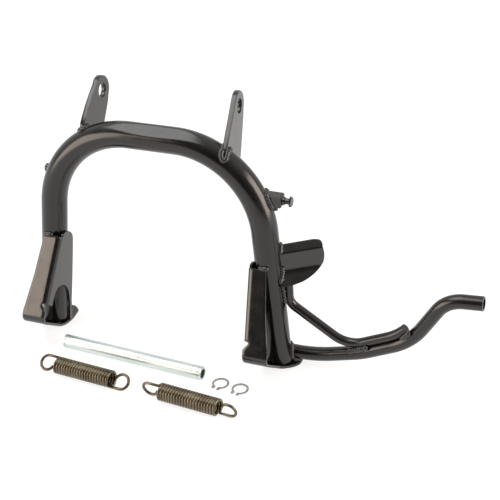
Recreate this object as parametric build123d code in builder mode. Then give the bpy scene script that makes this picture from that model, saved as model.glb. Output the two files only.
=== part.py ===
from build123d import *
import copy
import math
import os

os.makedirs("parts", exist_ok=True)

# All sizes in millimetres. X runs along the pivot line, +Y is the back, +Z is up.

# main hoop: one bent tube, pressed flat for a short way on its top
TUBE_R = 15.0
TUBE_WALL = 2.0
TOP_Y, TOP_Z = 6.1, 255.7
TOP_HALF = 27.3
CORNER_R = 102.6
LEG_SPLAY = 5.5
LEG_LEAN = 4.3
LEG_LENGTH = 150.0
SCARF_TOP = (-21.0, 80.0)
SCARF_LOW = (4.0, 22.0)
FLAT_X, FLAT_LENGTH, FLAT_DEPTH, FLAT_TILT = 14.0, 96.0, 1.2, 22.0

# pivot ears and the shaft that runs through them
SHAFT_R = 8.0
SHAFT_BORE_R = 5.6
RUNNING_GAP = 0.08
EAR_T = 6.0
EAR_INSIDE = 80.0
EAR_TIP_R = 19.0
PIVOT_Y, PIVOT_Z = 52.0, 283.5
EAR_FRONT = ((-9.0, 252.0), (-8.4, 268.4), (18.7, 287.5))
EAR_BACK = ((54.0, 249.0), (47.5, 229.0), (12.0, 226.0))
EAR_EDGE = 0.7
RING_T = 1.0
RING_SIDE_GAP = 0.1
END_LAND = 2.8
GROOVE_DEPTH = 0.4
SHAFT_EDGE = 0.6
SHAFT_AT = (-16.7, -60.8)
SHAFT_YAW = -3.5

# pressed shoes; an X named "out" is counted from foot_x, where the leg's centre line meets Z = 0
SHEET = 3.0
WEB_BITE = 0.4
SHOE_TOP = (-21.7, 127.7)
FLANGE_LEAN = 29.7
ROCKER_R = 62.0
ROCKER_ANGLE = 40.0
ROLL_R = 8.0
FOLD_R = 6.0
SOLE_BACK = 16.0
FLANGE_TOP_OUT, FLANGE_LOW_OUT, FLANGE_LOW_Z = -6.7, 4.8, 49.5
SOLE_IN_OUT, SOLE_OUT = -27.2, 22.8
SOLE_SIDE = ((FLANGE_LOW_OUT, -80.0), (5.8, -45.0), (SOLE_OUT, -18.0))
SOLE_CORNER_R = 11.0
WEB_BACK = ((-3.5, 3.0), (-3.5, 24.0), (1.5, 56.0), (8.5, 105.0), (3.0, 120.0), (-9.0, 127.7))
ARCH = ((-53.0, FLANGE_LOW_Z), (-44.0, 54.5), (-33.0, 58.5), (-21.0, 61.0), (-14.0, 58.5),
        (-10.5, 52.0), (-9.6, 42.0), (-9.6, 3.0))

# pedal arm and its brace, points as (out, Z)
ARM_R = 8.0
ARM_WALL = 2.0
ARM_Y = -2.0
ARM_OPEN_DEPTH = 16.0
ARM_POINTS = ((38.4, 14.0), (92.8, 28.6), (148.2, 54.4), (185.4, 115.1), (224.5, 118.0))
ARM_BENDS = (160.0, 120.0, 75.0, 35.0)
BRACE_R = 5.0
BRACE_Y = -4.0
BRACE_GAP = 0.1
BRACE_OUT, BRACE_TOP_Z, BRACE_KNEE_Z = 10.6, 96.0, 83.1
BRACE_DROP = 35.0
BRACE_KNEE_R, BRACE_LOW_R = 7.0, 35.0
BRACE_WRAP, BRACE_TAIL = 22.0, 2.0

# tread plate on the right leg: side profile as (Y from the leg, height), outline as (along, height)
TREAD_OUT, TREAD_Z, TREAD_TURN = 4.8, 140.0, 13.0
TREAD_PROFILE = ((1.6, 16.0), (-6.4, 8.2), (-6.4, -14.0), (-19.4, -27.5))
TREAD_BEND_R = 5.0
TREAD_T = 3.0
TREAD_OUTLINE = ((-8.0, 20.0), (-8.0, -14.0), (6.0, -30.0), (42.0, -30.0), (50.0, 20.0))
TREAD_LOW_R, TREAD_TOP_R = 20.0, 9.0

# spring peg, its block and the stub on the other side, counted out from the hoop's skin
PEG_Y, PEG_Z = 7.0, 200.5
SUNK = 8.0
BLOCK_STAND, BLOCK_DEPTH, BLOCK_HEIGHT = 13.6, 12.0, 13.0
BLOCK_CHAMFER = 1.2
COLLAR_R, COLLAR_L = 4.6, 2.5
PEG_NECK_R, PEG_NECK_L, PEG_HEAD_R, PEG_HEAD_T = 3.3, 7.5, 6.0, 3.0
NUB_R, NUB_L, NUB_OUT = 2.2, 6.0, 5.4
STUB_R, STUB_STAND, STUB_EDGE = 5.2, 4.0, 0.8

# extension springs and retaining rings lying in front
WIRE_R = 1.8
COIL_R = 8.45
TURNS = 21
HOOK_SWEEP = 255.0
SPRINGS = (("front_left_spring", (-93.0, -103.7), (-15.7, -109.9), 40.0),
           ("front_right_spring", (40.5, -113.0), (117.0, -120.2), 100.0))
RINGS = (("inner_ring", (94.9, -68.0), -103.0), ("outer_ring", (119.4, -70.7), -105.0))
RING_IN_R, RING_OUT_R, RING_SHIFT = 7.35, 9.6, 0.35
LUG_R, LUG_HOLE_R, LUG_SPREAD, LUG_AT = 1.9, 0.85, 19.0, 10.2
RING_GAP_W = 3.4

# weld beads stand this far off the metal
BEAD = 2.6

lean = math.radians(LEG_LEAN)
splay = math.radians(LEG_SPLAY)
flange = math.radians(FLANGE_LEAN)
rocker = math.radians(ROCKER_ANGLE)
knee_x = TOP_HALF + CORNER_R * math.cos(splay)
knee_s = -CORNER_R * (1 - math.sin(splay))
hoop_plane = Plane(origin=(0, TOP_Y, TOP_Z), x_dir=(1, 0, 0),
                   z_dir=(0, -math.cos(lean), math.sin(lean)))
side_view = Plane(origin=(0, 0, 0), x_dir=(0, 1, 0), z_dir=(1, 0, 0))


def leg_x(z):
    """X of the right leg's centre line at height z."""
    return knee_x + (knee_s - (z - TOP_Z) / math.cos(lean)) * math.tan(splay)


def leg_y(z):
    """Y of either leg's centre line at height z."""
    return TOP_Y + (z - TOP_Z) * math.tan(lean)


def skin_x(z):
    """X where the outer side of the hoop passes height z."""
    s = (z - TOP_Z) / math.cos(lean) + CORNER_R
    r = CORNER_R + TUBE_R
    if s > r * math.sin(splay):
        return TOP_HALF + math.sqrt(r * r - s * s)
    return TOP_HALF + r * math.cos(splay) + (r * math.sin(splay) - s) * math.tan(splay)


def sweep_hoop(outer, inner=None):
    """Disc or ring swept along the hoop's right half, then mirrored."""
    with BuildPart() as body:
        with BuildLine(hoop_plane) as half_path:
            straight = Line((0, 0), (TOP_HALF, 0))
            JernArc(start=straight @ 1, tangent=straight % 1, radius=CORNER_R,
                    arc_size=-(90 - LEG_SPLAY))
            Line((knee_x, knee_s), (knee_x + LEG_LENGTH * math.sin(splay),
                                    knee_s - LEG_LENGTH * math.cos(splay)))
        with BuildSketch(Plane(origin=(0, TOP_Y, TOP_Z), x_dir=(0, 1, 0), z_dir=(1, 0, 0))):
            Circle(outer)
            if inner:
                Circle(inner, mode=Mode.SUBTRACT)
        sweep(path=half_path.line)
        mirror(about=Plane.YZ)
    return body.part


foot_x = leg_x(0)
kept = []

# a bar as thick as the tube shapes what is welded on it, and a fatter one bounds the beads
hoop_bar = sweep_hoop(TUBE_R)
bead_bar = sweep_hoop(TUBE_R + BEAD)

with BuildPart() as hoop_tube:
    add(sweep_hoop(TUBE_R, TUBE_R - TUBE_WALL))
    # scarf at the foot of each leg
    cut_y, cut_z = SCARF_LOW[0] - SCARF_TOP[0], SCARF_LOW[1] - SCARF_TOP[1]
    reach = LEG_LENGTH / math.hypot(cut_y, cut_z)
    cut_y, cut_z = cut_y * reach, cut_z * reach
    high = (SCARF_TOP[0] - cut_y, SCARF_TOP[1] - cut_z)
    low = (SCARF_TOP[0] + cut_y, SCARF_TOP[1] + cut_z)
    with BuildSketch(side_view):
        with BuildLine():
            Polyline(high, low, (low[0] + cut_z, low[1] - cut_y),
                     (high[0] + cut_z, high[1] - cut_y), close=True)
        make_face()
    extrude(amount=2 * foot_x, both=True, mode=Mode.SUBTRACT)
    # pressed flat: a long shallow arc carried across the top of the bar
    press_r = (FLAT_LENGTH ** 2 / 4 + FLAT_DEPTH ** 2) / (2 * FLAT_DEPTH)
    with BuildSketch(Plane(origin=(FLAT_X, TOP_Y, TOP_Z), x_dir=(1, 0, 0),
                           z_dir=(0, -1, 0)).rotated((FLAT_TILT, 0, 0))):
        with Locations((0, TUBE_R - FLAT_DEPTH + press_r)):
            Circle(press_r)
    extrude(amount=2 * TUBE_R, both=True, mode=Mode.SUBTRACT)
hoop_tube.part.label = "hoop_tube"
kept.append(hoop_tube.part)


def tip_angle(point, way):
    """Direction from the pivot at which the line from a point touches the ear's tip."""
    y, z = point[0] - PIVOT_Y, point[1] - PIVOT_Z
    return (math.atan2(z, y) + way * math.acos(EAR_TIP_R / math.hypot(y, z))) % (2 * math.pi)


tip_from, tip_to = tip_angle(EAR_FRONT[-1], -1), tip_angle(EAR_BACK[0], 1) - 2 * math.pi
tip = [(PIVOT_Y + EAR_TIP_R * math.cos(a), PIVOT_Z + EAR_TIP_R * math.sin(a))
       for a in (tip_from, (tip_from + tip_to) / 2, tip_to)]


def ear_blank(x0, thickness):
    """The ear's outline as a plate."""
    with BuildPart() as blank:
        with BuildSketch(side_view.offset(x0)):
            with BuildLine():
                Polyline(*EAR_FRONT, tip[0])
                ThreePointArc(*tip)
                Polyline(tip[2], *EAR_BACK, EAR_FRONT[0])
            make_face()
        extrude(amount=thickness)
    return blank.part


# pivot ears, coped over the hoop, each with a bead round its foot
for side, x0 in (("left", -EAR_INSIDE - EAR_T), ("right", EAR_INSIDE)):
    with BuildPart() as ear:
        add(ear_blank(x0, EAR_T))
        chamfer(ear.faces().filter_by(Axis.X).edges(), length=EAR_EDGE)
        with Locations(Location((x0 + EAR_T / 2, PIVOT_Y, PIVOT_Z), (0, 90, 0))):
            Cylinder(SHAFT_R + RUNNING_GAP, 2 * EAR_T, mode=Mode.SUBTRACT)
        add(hoop_bar, mode=Mode.SUBTRACT)
    ear.part.label = side + "_pivot_ear"
    kept.append(ear.part)
    with BuildPart() as ear_weld:
        add(ear_blank(x0 - BEAD, EAR_T + 2 * BEAD))
        add(bead_bar, mode=Mode.INTERSECT)
        add(hoop_bar, mode=Mode.SUBTRACT)
        add(ear.part, mode=Mode.SUBTRACT)
    ear_weld.part.label = side + "_ear_weld"
    kept.append(ear_weld.part)


def shoe_line(inset):
    """Side profile of flange, roll and sole, moved in by the given amount."""
    ty = SHOE_TOP[0] + inset * math.cos(flange)
    tz = SHOE_TOP[1] - inset * math.sin(flange)
    r = ROCKER_R - inset
    ay, az = -r * math.sin(rocker), ROCKER_R - r * math.cos(rocker)
    # the flange line meets the line that leaves the rocker
    t = (ay - ty + math.tan(flange) * (tz - az)) / (math.cos(rocker) + math.tan(flange)
                                                    * math.sin(rocker))
    corner = (ay - t * math.cos(rocker), az + t * math.sin(rocker))
    mid = (-r * math.sin(rocker / 2), ROCKER_R - r * math.cos(rocker / 2))
    return (ty, tz), corner, (ay, az), mid, (0.0, inset)


def on_flange(inset, z):
    """Point of the flange line at height z, moved in by the given amount."""
    top = shoe_line(inset)[0]
    return (top[0] - (top[1] - z) * math.tan(flange), z)


def web_plane(offset):
    """Plane along the right leg, a distance inside its centre line."""
    return Plane(origin=(foot_x - offset / math.cos(splay), 0, 0), x_dir=(0, 1, 0),
                 z_dir=(math.cos(splay), 0, math.sin(splay)))


def fold_solid(outline, inset, fold_r):
    """Outline carried across to the wide side from the web plane, its fold rounded."""
    with BuildPart() as body:
        with BuildSketch(side_view):
            with BuildLine():
                Polyline(*outline, close=True)
            make_face()
        extrude(amount=2 * foot_x)
        split(bisect_by=web_plane(TUBE_R - WEB_BITE + SHEET - inset), keep=Keep.TOP)
        mid_y, mid_z = on_flange(inset, (SHOE_TOP[1] + FLANGE_LOW_Z) / 2)
        fold_at = (leg_x(mid_z) - TUBE_R + WEB_BITE - SHEET + inset, mid_y, mid_z)
        fillet(body.edges().sort_by_distance(fold_at)[0], radius=fold_r)
    return body.part


fold_out = fold_solid((on_flange(0, SHOE_TOP[1]), on_flange(0, FLANGE_LOW_Z), *ARCH, *WEB_BACK),
                      0, FOLD_R)
fold_in = fold_solid((on_flange(SHEET, 2 * SHOE_TOP[1]), on_flange(SHEET, -SHEET),
                      (2 * SOLE_BACK, -SHEET), (2 * SHOE_TOP[1], 2 * SHOE_TOP[1])),
                     SHEET, FOLD_R - SHEET)

# the right shoe is pressed from one sheet; the left is its mirror
with BuildPart() as right_shoe:
    with BuildSketch(side_view):
        _, low_out, rock_out, mid_out, flat_out = shoe_line(0)
        _, low_in, rock_in, mid_in, flat_in = shoe_line(SHEET)
        with BuildLine():
            Polyline(on_flange(0, FLANGE_LOW_Z), low_out, rock_out)
            ThreePointArc(rock_out, mid_out, flat_out)
            Polyline(flat_out, (SOLE_BACK, 0), (SOLE_BACK, SHEET), flat_in)
            ThreePointArc(flat_in, mid_in, rock_in)
            Polyline(rock_in, low_in, on_flange(SHEET, FLANGE_LOW_Z), on_flange(0, FLANGE_LOW_Z))
        make_face()
        fillet(vertices().sort_by_distance(low_out)[0], radius=ROLL_R)
        fillet(vertices().sort_by_distance(low_in)[0], radius=ROLL_R - SHEET)
    extrude(amount=2 * foot_x)
    split(bisect_by=web_plane(TUBE_R - WEB_BITE + SHEET), keep=Keep.TOP)
    add(fold_out - fold_in)
    with BuildSketch(Plane.XY):
        with BuildLine():
            plan = [(foot_x + out, y) for out, y in
                    ((SOLE_IN_OUT, SOLE_SIDE[0][1]), *SOLE_SIDE, (SOLE_OUT, SOLE_BACK),
                     (SOLE_IN_OUT, SOLE_BACK))]
            Polyline(*plan, close=True)
        make_face()
        fillet([vertices().sort_by_distance(corner)[0] for corner in plan[3:5]],
               radius=SOLE_CORNER_R)
    extrude(amount=2 * SHOE_TOP[1], mode=Mode.INTERSECT)
    with BuildSketch(Plane.XZ):
        with BuildLine():
            top_x, low_x = foot_x + FLANGE_TOP_OUT, foot_x + FLANGE_LOW_OUT
            Polyline((top_x, SHOE_TOP[1]), (low_x, FLANGE_LOW_Z), (low_x, FLANGE_LOW_Z - ROLL_R),
                     (2 * low_x, FLANGE_LOW_Z - ROLL_R), (2 * low_x, 2 * SHOE_TOP[1]),
                     (top_x, 2 * SHOE_TOP[1]), close=True)
        make_face()
    extrude(amount=SHOE_TOP[1], both=True, mode=Mode.SUBTRACT)
    add(hoop_bar, mode=Mode.SUBTRACT)
right_shoe.part.label = "right_shoe"

# bead where the shoe's top edge meets the front and inner side of the tube
with BuildPart() as right_shoe_weld:
    weld_x0 = leg_x(SHOE_TOP[1]) - TUBE_R - BEAD
    weld_x1 = foot_x + FLANGE_TOP_OUT
    with BuildSketch(Plane.XY.offset(SHOE_TOP[1])):
        with BuildLine():
            Polyline((weld_x0, SHOE_TOP[0]), (weld_x1, SHOE_TOP[0]),
                     (weld_x1, leg_y(SHOE_TOP[1])), (weld_x0, WEB_BACK[-1][0]), close=True)
        make_face()
    extrude(amount=BEAD)
    add(bead_bar, mode=Mode.INTERSECT)
    add(hoop_bar, mode=Mode.SUBTRACT)
right_shoe_weld.part.label = "right_shoe_weld"
kept += [right_shoe.part, right_shoe_weld.part]

for name, twin in (("left_shoe", right_shoe), ("left_shoe_weld", right_shoe_weld)):
    with BuildPart() as mirrored:
        mirror(twin.part, about=Plane.YZ)
    mirrored.part.label = name
    kept.append(mirrored.part)

# pedal arm, a bent tube from the right shoe's web that ends square and open
arm_points = [(foot_x + out, z) for out, z in
              ((-TUBE_R - SHEET, ARM_POINTS[0][1]), *ARM_POINTS)]
with BuildPart() as pedal_arm:
    with BuildLine():
        arm_line = FilletPolyline(*[(x, ARM_Y, z) for x, z in arm_points], radius=ARM_BENDS)
    with BuildSketch(Plane(origin=arm_line @ 0, x_dir=(0, 1, 0), z_dir=arm_line % 0)):
        Circle(ARM_R)
    sweep(path=arm_line)
    with BuildSketch(Plane(origin=arm_line @ 1, x_dir=(0, 1, 0), z_dir=arm_line % 1)):
        Circle(ARM_R - ARM_WALL)
    extrude(amount=-ARM_OPEN_DEPTH, mode=Mode.SUBTRACT)
    split(bisect_by=web_plane(TUBE_R - WEB_BITE), keep=Keep.TOP)
    add(hoop_tube.part, mode=Mode.SUBTRACT)
pedal_arm.part.label = "pedal_arm"
kept.append(pedal_arm.part)


def meet(p, a, q, b):
    """Where the line through p at angle a meets the line through q at angle b."""
    t = ((q[0] - p[0]) * math.sin(b) - (q[1] - p[1]) * math.cos(b)) / math.sin(b - a)
    return (p[0] + t * math.cos(a), p[1] + t * math.sin(a))


def onward(p, angle, length):
    """Point a length from p along an angle."""
    return (p[0] + length * math.cos(angle), p[1] + length * math.sin(angle))


# brace rod: down the leg, across, then alongside the arm and part way round its third bend
before, bend, after = arm_points[2:5]
run_in = math.atan2(bend[1] - before[1], bend[0] - before[0])
run_on = math.atan2(after[1] - bend[1], after[0] - bend[0])
beside = ARM_R + BRACE_R + BRACE_GAP
beside_in = onward(before, run_in + math.pi / 2, beside)
beside_on = onward(after, run_on + math.pi / 2, beside)
wrap = math.radians(BRACE_WRAP)
wrap_r = ARM_BENDS[2] - beside
wrap_from = onward(meet(beside_in, run_in, beside_on, run_on), run_in,
                   -wrap_r * math.tan((run_on - run_in) / 2))
wrap_corner = onward(wrap_from, run_in, wrap_r * math.tan(wrap / 2))
knee = (foot_x + BRACE_OUT, BRACE_KNEE_Z)
brace_points = ((knee[0], BRACE_TOP_Z), knee,
                meet(knee, -math.radians(BRACE_DROP), beside_in, run_in), wrap_corner,
                onward(wrap_corner, run_in + wrap, wrap_r * math.tan(wrap / 2) + BRACE_TAIL))
with BuildPart() as arm_brace:
    with BuildLine():
        brace_line = FilletPolyline(*[(x, BRACE_Y, z) for x, z in brace_points],
                                    radius=(BRACE_KNEE_R, BRACE_LOW_R, wrap_r))
    with BuildSketch(Plane(origin=brace_line @ 0, x_dir=(0, 1, 0), z_dir=brace_line % 0)):
        Circle(BRACE_R)
    sweep(path=brace_line)
    add(hoop_bar, mode=Mode.SUBTRACT)
arm_brace.part.label = "arm_brace"
kept.append(arm_brace.part)

with BuildPart() as brace_weld:
    with BuildSketch(Plane.XY.offset(BRACE_KNEE_Z)):
        with Locations((knee[0], BRACE_Y)):
            Circle(BRACE_R + BEAD)
    extrude(amount=BRACE_TOP_Z - BRACE_KNEE_Z)
    add(bead_bar, mode=Mode.INTERSECT)
    add(hoop_bar, mode=Mode.SUBTRACT)
    add(arm_brace.part, mode=Mode.SUBTRACT)
brace_weld.part.label = "brace_weld"
kept.append(brace_weld.part)

# tread plate: one bent strip, its free corners rounded
turn = math.radians(TREAD_TURN)
tread_at = (foot_x + TREAD_OUT, leg_y(TREAD_Z), TREAD_Z)
along = (math.cos(turn), 0, math.sin(turn))
tread_low, tread_high = TREAD_OUTLINE[3], TREAD_OUTLINE[4]


def tread_strip(thickness):
    """The plate's side profile carried along its full length."""
    with BuildPart() as strip:
        with BuildSketch(Plane(origin=tread_at, x_dir=(0, 1, 0), z_dir=along).offset(
                TREAD_OUTLINE[0][0])):
            with BuildLine():
                FilletPolyline(*TREAD_PROFILE, radius=TREAD_BEND_R)
            trace(line_width=thickness)
        extrude(amount=tread_high[0] - TREAD_OUTLINE[0][0])
    return strip.part


with BuildPart() as tread_plate:
    add(tread_strip(TREAD_T))
    with BuildSketch(Plane(origin=tread_at, x_dir=along, z_dir=(0, -1, 0))):
        with BuildLine():
            Polyline(*TREAD_OUTLINE, close=True)
        make_face()
        for corner, r in ((tread_low, TREAD_LOW_R), (tread_high, TREAD_TOP_R)):
            fillet(vertices().sort_by_distance(corner)[0], radius=r)
    extrude(amount=2 * TUBE_R, both=True, mode=Mode.INTERSECT)
    add(hoop_bar, mode=Mode.SUBTRACT)
tread_plate.part.label = "tread_plate"
kept.append(tread_plate.part)

with BuildPart() as tread_weld:
    add(tread_strip(TREAD_T + 2 * BEAD))
    add(bead_bar, mode=Mode.INTERSECT)
    add(hoop_bar, mode=Mode.SUBTRACT)
    add(tread_plate.part, mode=Mode.SUBTRACT)
tread_weld.part.label = "tread_weld"
kept.append(tread_weld.part)

# spring peg: block welded on the hoop, a small nub under it, then a headed pin
peg_skin = skin_x(PEG_Z)
block_end = peg_skin + BLOCK_STAND
block_mid = ((peg_skin - SUNK + block_end) / 2, PEG_Y, PEG_Z)
with BuildPart() as peg_block:
    with Locations(block_mid):
        Box(BLOCK_STAND + SUNK, BLOCK_DEPTH, BLOCK_HEIGHT)
    chamfer(peg_block.edges().filter_by(Axis.Y), length=BLOCK_CHAMFER)
    with Locations((peg_skin + NUB_OUT, PEG_Y, PEG_Z - BLOCK_HEIGHT / 2 - NUB_L / 2)):
        Cylinder(NUB_R, NUB_L)
    add(hoop_bar, mode=Mode.SUBTRACT)
peg_block.part.label = "peg_block"
kept.append(peg_block.part)

with BuildPart() as block_weld:
    with Locations(block_mid):
        Box(BLOCK_STAND + SUNK, BLOCK_DEPTH + 2 * BEAD, BLOCK_HEIGHT + 2 * BEAD)
    add(bead_bar, mode=Mode.INTERSECT)
    add(hoop_bar, mode=Mode.SUBTRACT)
    add(peg_block.part, mode=Mode.SUBTRACT)
block_weld.part.label = "block_weld"
kept.append(block_weld.part)

with BuildPart() as spring_peg:
    with BuildSketch(Plane.XZ.offset(-PEG_Y)):
        with BuildLine():
            neck_x, head_x = block_end + COLLAR_L, block_end + PEG_NECK_L
            Polyline((block_end, PEG_Z), (block_end, PEG_Z + COLLAR_R), (neck_x, PEG_Z + COLLAR_R),
                     (neck_x, PEG_Z + PEG_NECK_R), (head_x, PEG_Z + PEG_NECK_R),
                     (head_x + PEG_HEAD_T / 3, PEG_Z + PEG_HEAD_R),
                     (head_x + PEG_HEAD_T, PEG_Z + PEG_HEAD_R - PEG_HEAD_T / 3),
                     (head_x + PEG_HEAD_T, PEG_Z), close=True)
        make_face()
    revolve(axis=Axis((block_end, PEG_Y, PEG_Z), (1, 0, 0)))
spring_peg.part.label = "spring_peg"
kept.append(spring_peg.part)

with BuildPart() as left_stub:
    with BuildSketch(side_view.offset(-peg_skin - STUB_STAND)):
        with Locations((PEG_Y, PEG_Z)):
            Circle(STUB_R)
    extrude(amount=STUB_STAND + SUNK)
    chamfer(left_stub.edges().sort_by(Axis.X)[0], length=STUB_EDGE)
    add(hoop_bar, mode=Mode.SUBTRACT)
left_stub.part.label = "left_stub"
kept.append(left_stub.part)

# hollow pivot shaft lying in front, with a ring groove near each end
half_shaft = EAR_INSIDE + EAR_T + RING_SIDE_GAP + RING_T + END_LAND
groove_at = half_shaft - END_LAND - RING_T / 2
yaw = math.radians(SHAFT_YAW)
shaft_plane = Plane(origin=(SHAFT_AT[0], SHAFT_AT[1], SHAFT_R),
                    z_dir=(math.cos(yaw), math.sin(yaw), 0))
with BuildPart() as pivot_shaft:
    with BuildSketch(shaft_plane):
        Circle(SHAFT_R)
    extrude(amount=half_shaft, both=True)
    chamfer(pivot_shaft.edges().filter_by(GeomType.CIRCLE), length=SHAFT_EDGE)
    with BuildSketch(shaft_plane):
        Circle(SHAFT_BORE_R)
    extrude(amount=half_shaft, both=True, mode=Mode.SUBTRACT)
    for at in (groove_at, -groove_at):
        with BuildSketch(shaft_plane.offset(at - RING_T / 2)):
            Circle(2 * SHAFT_R)
            Circle(SHAFT_R - GROOVE_DEPTH, mode=Mode.SUBTRACT)
        extrude(amount=RING_T, mode=Mode.SUBTRACT)
pivot_shaft.part.label = "pivot_shaft"
kept.append(pivot_shaft.part)

# extension springs: close turns, and an open hook at each end
for name, start, end, roll in SPRINGS:
    length = math.hypot(end[0] - start[0], end[1] - start[1])
    pitch = length / TURNS
    out_r, in_r = COIL_R + WIRE_R, COIL_R - WIRE_R
    axis_plane = Plane(origin=(start[0], start[1], out_r),
                       x_dir=((end[0] - start[0]) / length, (end[1] - start[1]) / length, 0),
                       z_dir=(0, 0, 1))
    crest_and_root = [point for i in range(TURNS)
                      for point in (((i + 0.5) * pitch, out_r), ((i + 1) * pitch, COIL_R))]
    with BuildPart() as spring:
        with BuildSketch(axis_plane):
            with BuildLine():
                Polyline((0.0, in_r), (0.0, COIL_R), *crest_and_root, (length, in_r), close=True)
            make_face()
        revolve(axis=Axis((start[0], start[1], out_r), tuple(axis_plane.x_dir)))
        for at, way, turned in ((0.0, -1, roll), (length, 1, roll + 180)):
            hook_plane = Plane(origin=axis_plane.from_local_coords((at, 0, 0)),
                               x_dir=axis_plane.x_dir * way,
                               z_dir=axis_plane.z_dir * way).rotated((turned, 0, 0))
            with BuildLine(hook_plane):
                lead = Line((-WIRE_R, COIL_R), (COIL_R + WIRE_R, COIL_R))
                hook = JernArc(start=lead @ 1, tangent=lead % 1, radius=COIL_R,
                               arc_size=-HOOK_SWEEP)
            with BuildSketch(Plane(origin=lead @ 0, z_dir=lead % 0)):
                Circle(WIRE_R)
            sweep(path=Wire([lead.edge(), hook.edge()]))
    spring.part.label = name
    kept.append(spring.part)

# external retaining rings lying flat
for name, centre, heading in RINGS:
    with BuildPart() as ring:
        with BuildSketch(Plane(origin=(centre[0], centre[1], 0), z_dir=(0, 0, 1)).rotated(
                (0, 0, heading))):
            with Locations((-RING_SHIFT, 0)):
                Circle(RING_OUT_R)
            with PolarLocations(LUG_AT, 2, -LUG_SPREAD, 4 * LUG_SPREAD):
                Circle(LUG_R)
            Circle(RING_IN_R, mode=Mode.SUBTRACT)
            with Locations((LUG_AT, 0)):
                Rectangle(LUG_AT, RING_GAP_W, mode=Mode.SUBTRACT)
            with PolarLocations(LUG_AT, 2, -LUG_SPREAD, 4 * LUG_SPREAD):
                Circle(LUG_HOLE_R, mode=Mode.SUBTRACT)
        extrude(amount=RING_T)
    ring.part.label = name
    kept.append(ring.part)

# every piece moves by the same amount, so the whole stands on Z = 0, centred in X and Y
size = Compound(children=[copy.copy(piece) for piece in kept]).bounding_box()
home = Location((-(size.min.X + size.max.X) / 2, -(size.min.Y + size.max.Y) / 2, -size.min.Z))
print("moved by", home.position, "foot_x", round(foot_x, 3), "skin_x", round(peg_skin, 3))
for piece in kept:
    label = piece.label
    placed = piece.moved(home)
    placed.label = label
    export_step(placed, "parts/" + label + ".step")
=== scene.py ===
import math

import bmesh
import bpy
from mathutils import Matrix, Vector
from mathutils.bvhtree import BVHTree


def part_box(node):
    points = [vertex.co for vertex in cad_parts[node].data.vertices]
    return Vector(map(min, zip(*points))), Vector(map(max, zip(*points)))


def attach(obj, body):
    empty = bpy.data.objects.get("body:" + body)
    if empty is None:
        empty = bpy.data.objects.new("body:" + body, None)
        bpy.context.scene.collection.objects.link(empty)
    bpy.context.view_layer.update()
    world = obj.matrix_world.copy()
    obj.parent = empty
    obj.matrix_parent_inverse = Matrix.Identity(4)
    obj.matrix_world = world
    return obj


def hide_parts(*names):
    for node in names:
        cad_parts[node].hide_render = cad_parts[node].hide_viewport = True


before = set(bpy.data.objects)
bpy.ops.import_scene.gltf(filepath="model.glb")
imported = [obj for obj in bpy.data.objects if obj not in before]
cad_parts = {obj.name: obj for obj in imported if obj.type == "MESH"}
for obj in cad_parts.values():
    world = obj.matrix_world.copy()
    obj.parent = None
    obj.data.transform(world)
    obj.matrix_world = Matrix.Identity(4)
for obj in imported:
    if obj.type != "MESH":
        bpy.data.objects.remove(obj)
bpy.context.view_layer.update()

# The camera stands in front of the stand, a little to its right, and looks down on it at about
# thirty degrees with a long lens. It is rolled by a few degrees, as the picture is.
EYE_M, TARGET_M = Vector((0.457554, -1.022483, 0.8116)), Vector((-0.033136, 0.129617, 0.07306))
SENSOR_MM, LENS_MM, ROLL = 36.0, 87.30, math.radians(-3.23)


def new_object(name, data):
    """A new object, linked to the scene."""
    thing = bpy.data.objects.new(name, data)
    bpy.context.scene.collection.objects.link(thing)
    return thing


camera = new_object("camera", bpy.data.cameras.new("camera"))
bpy.context.scene.camera = camera
camera.data.sensor_width, camera.data.lens = SENSOR_MM, LENS_MM
camera.data.clip_start, camera.data.clip_end = 0.05, 20.0
ahead = (TARGET_M - EYE_M).normalized()
across = ahead.cross(Vector((0, 0, 1))).normalized()
upward = across.cross(ahead)
right = across * math.cos(ROLL) + upward * math.sin(ROLL)
top = upward * math.cos(ROLL) - across * math.sin(ROLL)
camera.matrix_world = Matrix((right, top, -ahead)).transposed().to_4x4()
camera.location = EYE_M

# The hoop is one steel tube, 30 mm across, bent to an arch and pressed flat for a short way on
# its top. It is sprayed with gloss black enamel, which pools a little and hides the bare steel.
BLACK_ENAMEL, WARM_ENAMEL, ENAMEL_IOR = "#080706", "#110f0d", 1.55
ENAMEL_ROUGHNESS, ENAMEL_BLOTCH_MM, PEEL_MM, PEEL_HEIGHT_MM = (0.15, 0.24), 26.0, 2.2, 0.006
TUBE_R_MM, WALL_MM, TUBE_FACETS = 15.0, 2.0, 96
TOP_Y_MM, TOP_Z_MM, TOP_HALF_MM, CORNER_R_MM, LEG_MM = 6.1, 255.7, 27.3, 102.6, 165.0
TOP_STEPS, CORNER_STEPS, LEG_STEPS = 24, 110, 40
SPLAY, LEAN = math.radians(5.5), math.radians(4.3)
PRESSED_AT_MM, PRESSED_LONG_MM, PRESSED_DEEP_MM = 9.0, 104.0, 2.1
PRESSED_TILT = math.radians(32.0)
SOLE_CUT_MM, SOLE_SLOPE = (-11.0, 6.0), -0.19
SHIFT_MM = (-101.146, 29.6167)
NOISE_LOW, NOISE_HIGH, SAME_PLACE_M = 0.3, 0.7, 1e-6


def linear(code):
    """Linear colour with alpha from an sRGB hex code."""
    parts = [int(code[i:i + 2], 16) / 255 for i in (1, 3, 5)]
    return [c / 12.92 if c <= 0.04045 else ((c + 0.055) / 1.055) ** 2.4 for c in parts] + [1.0]


def add_node(tree, kind, inputs=None, **settings):
    """One node with its settings; an input is a value, or another node's output socket."""
    node = tree.nodes.new(kind)
    for name, value in settings.items():
        setattr(node, name, value)
    for name, value in (inputs or {}).items():
        if isinstance(value, bpy.types.NodeSocket):
            tree.links.new(value, node.inputs[name])
        else:
            node.inputs[name].default_value = value
    return node


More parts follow.
